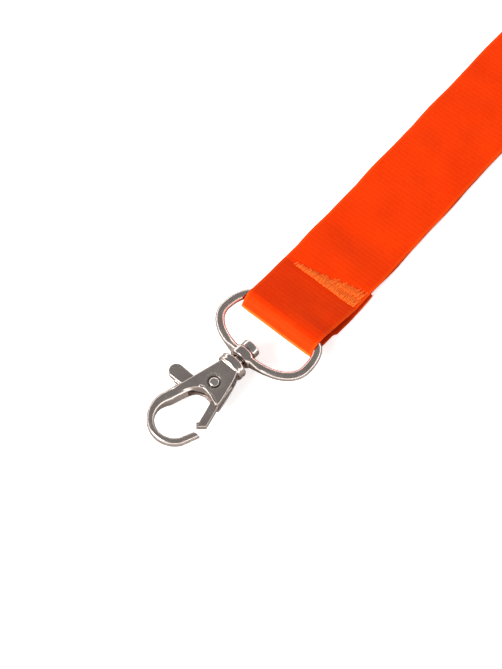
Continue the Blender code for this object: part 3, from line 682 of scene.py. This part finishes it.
def nickel_plate(name, dull_hex, clean_hex, smooth, rough, grain=900.0):
    """Nickel plate over a polished base: warm grey, with soft smudges, faint ripples left by the
    barrel polish, and hairline scratches that only the highlights show."""
    material, tree, shader = new_material(name, Metallic=1.0)
    spot = add_node(tree, "ShaderNodeTexCoord")
    cloud = add_node(tree, "ShaderNodeTexNoise", links={
        "Vector": spot.outputs["Object"], "Scale": 260.0, "Detail": 4.0, "Roughness": 0.6})
    ripple = add_node(tree, "ShaderNodeTexNoise", links={
        "Vector": spot.outputs["Object"], "Scale": grain, "Detail": 2.0})
    stretched = add_node(tree, "ShaderNodeMapping", links={
        "Vector": spot.outputs["Object"], "Rotation": (0.4, 0.7, 0.6), "Scale": (7000.0, 350.0, 900.0)})
    hairline = add_node(tree, "ShaderNodeTexNoise", links={
        "Vector": stretched.outputs[0], "Scale": 1.0, "Detail": 1.0})
    tree.links.new(ramp(tree, cloud.outputs["Fac"], [(0.3, dull_hex), (0.7, clean_hex)]),
                   shader.inputs["Base Color"])
    mixed = add_node(tree, "ShaderNodeMath", {"operation": "MULTIPLY_ADD"},
                     {0: hairline.outputs["Fac"], 1: 0.35, 2: cloud.outputs["Fac"]})
    rough_map = add_node(tree, "ShaderNodeMapRange", links={
        "Value": mixed.outputs[0], "From Min": 0.4, "From Max": 1.0, "To Min": smooth, "To Max": rough})
    tree.links.new(rough_map.outputs["Result"], shader.inputs["Roughness"])
    height = add_node(tree, "ShaderNodeMath", {"operation": "MULTIPLY_ADD"},
                      {0: hairline.outputs["Fac"], 1: 0.25, 2: ripple.outputs["Fac"]})
    bump = add_node(tree, "ShaderNodeBump", links={
        "Height": height.outputs[0], "Strength": 0.35, "Distance": 0.012 * MM})
    tree.links.new(bump.outputs["Normal"], shader.inputs["Normal"])
    return material


def flat_tube(path_points, size_of, power, sides, closed):
    """Sections along a flat (x, y) path. size_of(i) gives each one's width and height, and power
    how square it is: 2 is round."""
    rings = []
    count = len(path_points)
    for i, point in enumerate(path_points):
        before = path_points[i - 1] if closed or i else path_points[0]
        after = path_points[(i + 1) % count] if closed or i < count - 1 else path_points[-1]
        along = (Vector(after) - Vector(before)).normalized()
        across = Vector((-along.y, along.x))
        width, height = size_of(i)
        ring = []
        for k in range(sides):
            angle = math.tau * k / sides
            c, s = math.cos(angle), math.sin(angle)
            u = math.copysign(abs(c) ** (2 / power), c) * width / 2
            v = math.copysign(abs(s) ** (2 / power), s) * height / 2
            ring.append(Vector((point[0] + across.x * u, point[1] + across.y * u, v)))
        rings.append(ring)
    return rings


def turned(name, profile, sides=64):
    """A solid turned about the X axis from (x, radius) points. Its two ends lie on the axis."""
    bm = bmesh.new()
    verts = [bm.verts.new((x, 0, radius)) for x, radius in profile]
    edges = [bm.edges.new(pair) for pair in zip(verts, verts[1:])]
    bmesh.ops.spin(bm, geom=verts + edges, cent=(0, 0, 0), axis=(1, 0, 0), angle=math.tau,
                   steps=sides, use_merge=True)
    bmesh.ops.remove_doubles(bm, verts=bm.verts, dist=0.001 * MM)
    return mesh_of(name, bm)


def cylinder(name, low, high, radius, sides=64):
    """A plain cylinder about the X axis."""
    return turned(name, [(low, 0), (low, radius), (high, radius), (high, 0)], sides)


def rising_rim(start, radius, edge, angles):
    """The rounded rim where a turned profile steps out to its full radius."""
    return [(start + edge - edge * math.cos(a), radius - edge + edge * math.sin(a)) for a in angles]


def falling_rim(end, radius, edge, angles):
    """The rounded rim where a turned profile steps back in."""
    return [(end - edge + edge * math.sin(a), radius - edge + edge * math.cos(a)) for a in angles]


def moved(mesh, x, y, z, upright=False):
    """The mesh, stood on end if asked, and carried to a place."""
    if upright:
        mesh.transform(Matrix.Rotation(math.radians(-90), 4, "Y"))
    mesh.transform(Matrix.Translation((x, y, z)))
    return mesh


def cast(name, solids, cutters, voxel=CAST_VOXEL, rounds=5):
    """Fuses solids, cuts the cutters out, and melts the result into one skin with small fillets, as
    a casting has."""
    scratch = []
    for i, mesh in enumerate(solids + cutters):
        part = bpy.data.objects.new(f"{name}_{i}", mesh)
        bpy.context.scene.collection.objects.link(part)
        scratch.append(part)
    body = scratch[0]
    for part in scratch[1:]:
        fuse = body.modifiers.new(part.name, "BOOLEAN")
        fuse.operation = "UNION" if part in scratch[:len(solids)] else "DIFFERENCE"
        fuse.solver = "EXACT"
        fuse.object = part
    melt = body.modifiers.new("melt", "REMESH")
    melt.mode = "VOXEL"
    melt.voxel_size = voxel
    relax = body.modifiers.new("relax", "SMOOTH")
    relax.factor = 0.5
    relax.iterations = rounds
    bpy.context.view_layer.update()
    skin = bpy.data.meshes.new_from_object(body.evaluated_get(bpy.context.evaluated_depsgraph_get()))
    skin.name = name
    for part in scratch:
        bpy.data.objects.remove(part, do_unlink=True)
    return skin


def ring_path():
    """The middle line of the ring's wire: a straight bar, two long round corners, and a wide bow
    that swells a little towards the boss."""
    bar_half = RING_HALF_WIDTH - RING_CORNER_WIDTH
    corner_steps, bow_steps = 24, 150
    swell = RING_FRONT - RING_SIDE_X - RING_BOW_REACH
    rear, bow = [], []
    for i in range(corner_steps):
        angle = math.radians(90) * i / corner_steps
        rear.append((RING_SIDE_X * (math.cos(angle) - 1),
                     bar_half + RING_CORNER_WIDTH * math.sin(angle)))
    for i in range(bow_steps + 1):
        angle = math.pi * i / bow_steps
        across = abs(math.cos(angle)) ** (2 / RING_BOW_POWER)
        y = RING_HALF_WIDTH * math.copysign(across, math.cos(angle))
        reach = RING_BOW_REACH * math.sin(angle) ** (2 / RING_BOW_POWER)
        bow.append((-RING_SIDE_X - reach - swell * math.exp(-(y / BOSS_FLARE * 2) ** 2), y))
    bar = [(0, bar_half * (2 * i / 12 - 1)) for i in range(1, 12)]
    rear_other = [(x, -y) for x, y in reversed(rear)]
    return [(x, y + RING_SHIFT) for x, y in bar + rear + bow + rear_other]


def ring_mesh():
    """The wire, which thickens into the boss and tilts up to it from the bar, and the boss's bore."""
    line = ring_path()

    def size_of(i):
        x, y = line[i]
        near = smooth_step(BOSS_FLARE, 0.8 * MM, abs(y)) if x < -RING_SIDE_X else 0.0
        return RING_WIRE, RING_WIRE + (0.84 * BOSS_DIAMETER - RING_WIRE) * near

    rise = (AXIS_Z - BAR_Z) / RING_FRONT
    bm = bmesh.new()
    rings = flat_tube(line, size_of, 2.0, 28, True)
    tilted = [[(p.x, p.y, p.z - p.x * rise + BAR_Z) for p in ring] for ring in rings]
    add_skin(bm, tilted, closed=True)
    wire = mesh_of("wire", bm)
    half, radius = BOSS_LENGTH / 2, BOSS_DIAMETER / 2
    profile = [(-half, 0), (-half, radius - BOSS_EDGE)]
    profile += rising_rim(-half, radius, BOSS_EDGE, (0.4, 0.8, 1.2, 1.57))
    profile += falling_rim(half, radius, BOSS_EDGE, (0.0, 0.4, 0.8, 1.2))
    profile += [(half, radius - BOSS_EDGE), (half, 0)]
    boss = moved(turned("boss", profile), -RING_FRONT, 0, AXIS_Z)
    bore = moved(cylinder("bore", -3 * half, 3 * half, PIN_BORE_RADIUS), -RING_FRONT, 0, AXIS_Z)
    return cast("ring_and_boss", [wire, boss], [bore], rounds=6)


# Barrel polished zinc under nickel: a warm grey mirror that is a little soft.
cast_nickel = nickel_plate("nickel_plated_zinc_casting", "#cabdb6", "#dccfc8", 0.18, 0.32)
ring = new_piece("ring_and_boss", ring_mesh(), cast_nickel, "ring", 70)
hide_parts("swivel_ring")


# ---------------------------------------------------------------- swivel pin
# A turned steel pin, nickel plated. Its round head sits inside the ring, and its shank goes through
# the boss into the hook's collar, where it is fixed.
PIN_HEAD_DIAMETER = 4.2 * MM
PIN_HEAD_LENGTH = 1.7 * MM
PIN_HEAD_CHAMFER = 0.15 * MM
PIN_HEAD_EDGE = 0.35 * MM
PIN_CROWN = [(0.1, 0.55), (0.13, 0.3), (0.13, 0.0)]  # height in millimetres, share of the radius
COLLAR_GAP = 1.0 * MM
COLLAR_LENGTH = 2.1 * MM
PIN_SEAT_DEPTH = 3.6 * MM


def pin_mesh():
    shank = PIN_DIAMETER / 2
    head = PIN_HEAD_DIAMETER / 2
    start = BOSS_LENGTH / 2 + BORE_CLEARANCE
    end = -(BOSS_LENGTH / 2 + COLLAR_GAP + PIN_SEAT_DEPTH)
    top = start + PIN_HEAD_LENGTH
    profile = [(end, 0), (end, shank), (start, shank)]
    profile += [(start, head - PIN_HEAD_CHAMFER), (start + PIN_HEAD_CHAMFER, head)]
    profile += falling_rim(top, head, PIN_HEAD_EDGE, (0, 0.4, 0.8, 1.2, 1.57))
    profile += [(top + height * MM, head * share) for height, share in PIN_CROWN]
    return moved(turned("swivel_pin_turned", profile, 72), -RING_FRONT, 0, AXIS_Z)


# Turned steel under nickel: like the castings, a touch brighter, with finer marks.
pin_nickel = nickel_plate("nickel_plated_steel", "#cec4be", "#e2d8d2", 0.15, 0.28, 1600.0)
pin = new_piece("swivel_pin_turned", pin_mesh(), pin_nickel, "hook", 40)
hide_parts("swivel_pin")


# ---------------------------------------------------------------- hook body
# One zinc casting, nickel plated: a collar for the pin, two cheeks with the gate's slot between
# them, and the claw. A thin rim is cast along the arch, and a raised lip round the rivet's well.
REFERENCE_TO_COLLAR = 5.1 * MM
HOOK_X = -RING_FRONT - BOSS_LENGTH / 2 - COLLAR_GAP - COLLAR_LENGTH - REFERENCE_TO_COLLAR
PIVOT_OFFSET = Vector((0.2, -0.45)) * MM  # of the rivet from the hook's reference point
PIVOT = Vector((HOOK_X + PIVOT_OFFSET.x, PIVOT_OFFSET.y, AXIS_Z))
COLLAR_DIAMETER = 6.6 * MM
COLLAR_EDGE = 0.5 * MM
COLLAR_WAIST = 0.12 * MM  # how much it draws in halfway
BODY_THICKNESS = 4.4 * MM
BODY_EDGE = 0.45 * MM
ARCH = [(-3.5, -4.2), (-2.8, -2.1), (-2.5, -0.2), (-2.95, 1.1), (-4.2, 2.3), (-7.0, 3.7)]  # in mm
SLOT_HEIGHT = 2.4 * MM
SLOT_CORNERS = [(-5.0, -6.5), (2.9, -6.5), (2.9, 7.0), (-5.0, 7.0)]  # in mm
CLAW_CENTRE = Vector((-11.0, 0.2)) * MM
CLAW_RADIUS = 5.2 * MM
CLAW_BOW = (62, 238)  # degrees, from where its bow is round to where it runs out straight
CLAW_BOW_STEPS = 66
CLAW_ROOT_WIDTH = 3.0 * MM
CLAW_WIDTH = 1.7 * MM
CLAW_HEIGHT = 2.3 * MM
CLAW_TIP = Vector((-10.5, -5.5)) * MM
CLAW_TIP_SLANT = 0.5 * MM
RIM_RADIUS = 0.36 * MM
RIM_SUNK = 0.18 * MM  # how far its middle line lies under the cheek's face
RIM_BACK = Vector((0.4, 0.1)) * MM  # and behind the arch
RIVET_DIAMETER = 1.6 * MM
RIVET_BORE_RADIUS = RIVET_DIAMETER / 2 + BORE_CLEARANCE
WELL_DIAMETER = 2.85 * MM  # round the rivet's head
WELL_DEPTH = 0.5 * MM
WELL_LIP_DIAMETER = 3.75 * MM
WELL_LIP_RADIUS = 0.2 * MM
WELL_LIP_SUNK = 0.08 * MM


def curve_through(points, steps):
    """A smooth curve through points given in millimetres, with that many steps between two."""
    points = [Vector(point) * MM for point in points]
    padded = [2 * points[0] - points[1], *points, 2 * points[-1] - points[-2]]
    line = []
    for before, a, b, after in zip(padded, padded[1:], padded[2:], padded[3:]):
        for i in range(steps):
            t = i / steps
            line.append(0.5 * (2 * a + (b - before) * t + (2 * before - 5 * a + 4 * b - after) * t**2
                               + (3 * a - before - 3 * b + after) * t**3))
    return line + [points[-1]]


def plate(name, outline, low, high, edge=0.0, steps=3):
    """A flat outline made solid between two heights, with rounded rims if asked."""
    bm = bmesh.new()
    base = bm.faces.new([bm.verts.new((x, y, low)) for x, y in outline])
    top = bmesh.ops.extrude_face_region(bm, geom=[base])["geom"]
    risen = [item for item in top if isinstance(item, bmesh.types.BMVert)]
    bmesh.ops.translate(bm, verts=risen, vec=(0, 0, high - low))
    if edge:
        rims = [e for e in bm.edges if abs(e.verts[0].co.z - e.verts[1].co.z) < 1e-9]
        bmesh.ops.bevel(bm, geom=rims, offset=edge, segments=steps, profile=0.5,
                        affect="EDGES", clamp_overlap=True)
    return mesh_of(name, bm)


def claw_mesh():
    """The claw, from inside the body round to its slanted tip."""
    bow = []
    bow_start, bow_end = CLAW_BOW
    for i in range(CLAW_BOW_STEPS + 1):
        angle = math.radians(bow_start + (bow_end - bow_start) * i / CLAW_BOW_STEPS)
        bow.append(CLAW_CENTRE + Vector((math.cos(angle), math.sin(angle))) * CLAW_RADIUS)
    root = curve_through([(-2.6, 2.6), (-5.0, 3.7), tuple(bow[0] / MM)], 9)
    halfway = (bow[-1] + CLAW_TIP) / 2
    arm = curve_through([tuple(point / MM) for point in (bow[-1], halfway, CLAW_TIP)], 6)
    line = root + bow[1:] + arm[1:]

    def size_of(i):
        share = smooth_step(12, 46, i)
        taper = smooth_step(len(line) - 16, len(line), i)
        root_height = BODY_THICKNESS - 0.1 * MM
        width = CLAW_ROOT_WIDTH + (CLAW_WIDTH - CLAW_ROOT_WIDTH) * share
        tall = root_height + (CLAW_HEIGHT - root_height) * share
        return width * (1 - 0.1 * taper), tall * (1 - 0.08 * taper)

    rings = flat_tube(line, size_of, 2.3, 28, False)
    along = (line[-1] - line[-2]).normalized()
    across = Vector((-along.y, along.x))
    tip = []
    for point in rings[-1]:
        inward = (point.xy - line[-1]).dot(across) / (CLAW_WIDTH / 2)
        tip.append(point - Vector((along.x, along.y, 0)) * CLAW_TIP_SLANT * inward)
    bm = bmesh.new()
    add_skin(bm, rings[:-1] + [tip])
    return mesh_of("claw", bm)


def collar_mesh():
    """The round collar, a little drawn in at its waist."""
    start, end = REFERENCE_TO_COLLAR, REFERENCE_TO_COLLAR + COLLAR_LENGTH
    radius = COLLAR_DIAMETER / 2
    profile = [(start, 0), (start, radius - COLLAR_EDGE)]
    profile += rising_rim(start, radius, COLLAR_EDGE, (0.5, 1.0, 1.57))
    profile += [((start + end) / 2, radius - COLLAR_WAIST)]
    profile += falling_rim(end, radius, COLLAR_EDGE, (0.0, 0.5, 1.0))
    profile += [(end, radius - COLLAR_EDGE), (end, 0)]
    return turned("collar", profile, 96)


def arch_rim_mesh(side):
    """The thin rim along the arch of one cheek."""
    height = side * (BODY_THICKNESS / 2 - RIM_SUNK)
    line = [Vector((*(point + RIM_BACK), height)) for point in curve_through(ARCH[:4], 8)]
    bm = bmesh.new()
    add_skin(bm, tube_rings(line, RIM_RADIUS, 12))
    return mesh_of("rim", bm)


def well_lip_mesh(side):
    """The raised lip round the rivet's well in one cheek."""
    angles = [math.tau * i / 60 for i in range(60)]
    radius = WELL_LIP_DIAMETER / 2
    line = [(PIVOT_OFFSET.x + radius * math.cos(a), PIVOT_OFFSET.y + radius * math.sin(a)) for a in angles]
    lip = flat_tube(line, lambda i: (2 * WELL_LIP_RADIUS, 2 * WELL_LIP_RADIUS), 2.0, 12, True)
    bm = bmesh.new()
    add_skin(bm, lip, closed=True)
    return moved(mesh_of("well_lip", bm), 0, 0, side * (BODY_THICKNESS / 2 - WELL_LIP_SUNK))


def hook_mesh():
    """The cheeks, claw, collar, rims and lips in one, with the pin's seat, the gate's slot and the
    rivet's bore and wells cut out."""
    half = BODY_THICKNESS / 2
    neck = REFERENCE_TO_COLLAR / MM + 0.3
    flank = curve_through([(neck, -2.3), (4.0, -2.95), (1.6, -3.65), (-1.2, -4.35), (-2.9, -4.7)], 3)
    arch = curve_through(ARCH, 6)
    top = [Vector(point) * MM for point in [(-7.7, 5.1), (-5.2, 4.75), (-0.2, 3.5), (neck, 2.2)]]
    cheeks = plate("cheeks", [tuple(p) for p in flank + arch + top], -half, half, BODY_EDGE)
    solids = [cheeks, claw_mesh(), collar_mesh()]
    for side in (1, -1):
        solids += [arch_rim_mesh(side), well_lip_mesh(side)]
    mouth = REFERENCE_TO_COLLAR + COLLAR_LENGTH
    seat_end = mouth - PIN_SEAT_DEPTH - BORE_CLEARANCE
    seat = cylinder("seat", seat_end, mouth + 1 * MM, PIN_BORE_RADIUS)
    slot = plate("slot", [(x * MM, y * MM) for x, y in SLOT_CORNERS], -SLOT_HEIGHT / 2, SLOT_HEIGHT / 2)
    cutters = [seat, slot]
    holes = [(-3 * half, 3 * half, RIVET_BORE_RADIUS),
             (half - WELL_DEPTH, 3 * half, WELL_DIAMETER / 2),
             (-3 * half, WELL_DEPTH - half, WELL_DIAMETER / 2)]
    for low, high, radius in holes:
        cutters.append(moved(cylinder("hole", low, high, radius), *PIVOT_OFFSET, 0, upright=True))
    return moved(cast("hook_body_cast", solids, cutters, rounds=4), HOOK_X, 0, AXIS_Z)


hook = new_piece("hook_body_cast", hook_mesh(), cast_nickel, "hook", 70)
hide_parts("hook_body")


# ---------------------------------------------------------------- gate lever
# A second zinc casting, nickel plated: the arm that shuts the claw, the hub on the rivet, and the
# thumb tab with a small lip at its root. The arm's end is cut on the slant, beside a small nub.
GATE_THICKNESS = 1.8 * MM
GATE_EDGE = 0.28 * MM
GATE_ARM_WIDTH = 1.9 * MM
GATE_ARM_ROOT = Vector((-3.6, -3.25)) * MM
GATE_END = Vector((-9.4, -4.8)) * MM
GATE_END_SLANT = 1.05 * MM
GATE_HUB_RADIUS = 2.2 * MM
GATE_FLANK_LENGTH = 5.6 * MM  # behind the arm's root
GATE_FLANK_OUT = 0.45 * MM  # the lever's flank comes out level with the cheeks
GATE_NUB_RADIUS = 0.32 * MM
TAB_X = -3.05 * MM
TAB_WIDTH = 3.4 * MM
TAB_REACH = 9.9 * MM
TAB_LIP = [(-5.35, 4.6), (-4.4, 4.4), (-4.4, 7.4), (-5.1, 7.2)]  # in mm
SPRING_WIRE = 0.32 * MM
SPRING_TURNS = 2
SPRING_ROOM = 0.3 * MM  # round it and under it, in its pocket


def gate_outline():
    """Round the lever from the arm's tip: its flank, hub, thumb tab, throat and inner side."""
    along = (GATE_END - GATE_ARM_ROOT).normalized()
    inward = Vector((along.y, -along.x)) * GATE_ARM_WIDTH / 2
    flank_end = GATE_ARM_ROOT - inward - along * GATE_FLANK_LENGTH
    flank_end -= inward.normalized() * GATE_FLANK_OUT
    outer = [GATE_END - inward - along * GATE_END_SLANT, GATE_ARM_ROOT - inward, flank_end]
    hub = []
    for i in range(13):
        angle = math.radians(-35 + 85 * i / 12)
        hub.append(Vector((math.cos(angle), math.sin(angle))) * GATE_HUB_RADIUS)
    shoulder = [Vector((TAB_X + TAB_WIDTH / 2, 3.4 * MM))]
    tab_centre = Vector((TAB_X, TAB_REACH - TAB_WIDTH / 2))
    tab = []
    for i in range(25):
        angle = math.pi * i / 24
        tab.append(tab_centre + Vector((math.cos(angle), math.sin(angle))) * TAB_WIDTH / 2)
    throat = curve_through([(-4.5, 3.6), (-2.9, 1.6), (-2.35, -0.2), (-2.6, -1.6)], 4)
    inner = [GATE_ARM_ROOT + inward + along * 0.3 * MM, GATE_END + inward]
    return [tuple(p) for p in outer + hub + shoulder + tab + throat + inner]


def gate_mesh():
    """The lever with its lip and nub, bored for the rivet and pocketed for the spring."""
    half = GATE_THICKNESS / 2
    lever = plate("lever", gate_outline(), -half, half, GATE_EDGE)
    bore = cylinder("bore", -3 * half, 3 * half, RIVET_BORE_RADIUS)
    pocket_low = half - (SPRING_TURNS + 1) * SPRING_WIRE - SPRING_ROOM
    pocket = cylinder("pocket", pocket_low, 3 * half, RIVET_BORE_RADIUS + SPRING_WIRE + SPRING_ROOM)
    lip = plate("lip", [(x * MM, y * MM) for x, y in TAB_LIP], -half, -0.15 * MM, 0.15 * MM)
    nub = cylinder("nub", -half, half * 0.6, GATE_NUB_RADIUS, 24)
    along = (GATE_END - GATE_ARM_ROOT).normalized()
    nub_at = GATE_END + Vector((along.y, -along.x)) * GATE_ARM_WIDTH * 0.56 - along * 0.9 * MM
    solids = [lever, lip, moved(nub, *nub_at, 0, upright=True)]
    cutters = [moved(bore, 0, 0, 0, upright=True), moved(pocket, 0, 0, 0, upright=True)]
    return moved(cast("gate_lever_cast", solids, cutters, voxel=0.08 * MM, rounds=4), *PIVOT)


gate = new_piece("gate_lever_cast", gate_mesh(), cast_nickel, "gate", 70)
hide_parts("gate_lever")


# ---------------------------------------------------------------- gate spring
# Two turns of bare drawn spring wire, wound round the rivet in a pocket of the lever's hub. They push
# the gate shut.
SPRING_PITCH = 1.3 * SPRING_WIRE


def spring_mesh():
    steps = 40
    radius = RIVET_BORE_RADIUS + SPRING_WIRE / 2
    low = GATE_THICKNESS / 2 - (SPRING_TURNS + 1) * SPRING_WIRE + SPRING_WIRE / 2
    points = []
    for i in range(SPRING_TURNS * steps + 1):
        angle = math.tau * i / steps
        height = low + SPRING_PITCH * i / steps
        points.append(PIVOT + Vector((radius * math.cos(angle), radius * math.sin(angle), height)))
    bm = bmesh.new()
    add_skin(bm, tube_rings(points, SPRING_WIRE / 2, 12))
    return mesh_of("gate_spring_wire", bm)


# Drawn steel: darker than the plate, with fine marks from the die.
spring_steel = nickel_plate("drawn_spring_steel", "#8e8a86", "#a9a5a0", 0.25, 0.42, 2400.0)
spring = new_piece("gate_spring_wire", spring_mesh(), spring_steel, "hook")
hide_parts("gate_spring")


# ---------------------------------------------------------------- pivot rivet
# A nickel plated steel rivet through both cheeks and the lever. Its two heads are peened into low
# domes, which sit in the cheeks' wells.
RIVET_HEAD_DIAMETER = 2.2 * MM
RIVET_HEAD_WALL = 0.3 * MM
RIVET_HEAD_RISE = 0.5 * MM


def rivet_mesh():
    shank = RIVET_DIAMETER / 2
    head = RIVET_HEAD_DIAMETER / 2
    seat = BODY_THICKNESS / 2 - WELL_DEPTH + 0.05 * MM
    dome_from = seat + RIVET_HEAD_WALL
    dome = [(dome_from + RIVET_HEAD_RISE * math.sin(a), head * math.cos(a))
            for a in (0.0, 0.25, 0.5, 0.75, 1.0, 1.25)]
    top = [(seat, shank), (seat, head - 0.05 * MM), *dome, (dome_from + RIVET_HEAD_RISE, 0)]
    bottom = [(-x, r) for x, r in reversed(top)]
    return moved(turned("pivot_rivet_peened", bottom + top, 56), *PIVOT, upright=True)


rivet = new_piece("pivot_rivet_peened", rivet_mesh(), pin_nickel, "hook", 45)
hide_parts("pivot_rivet")
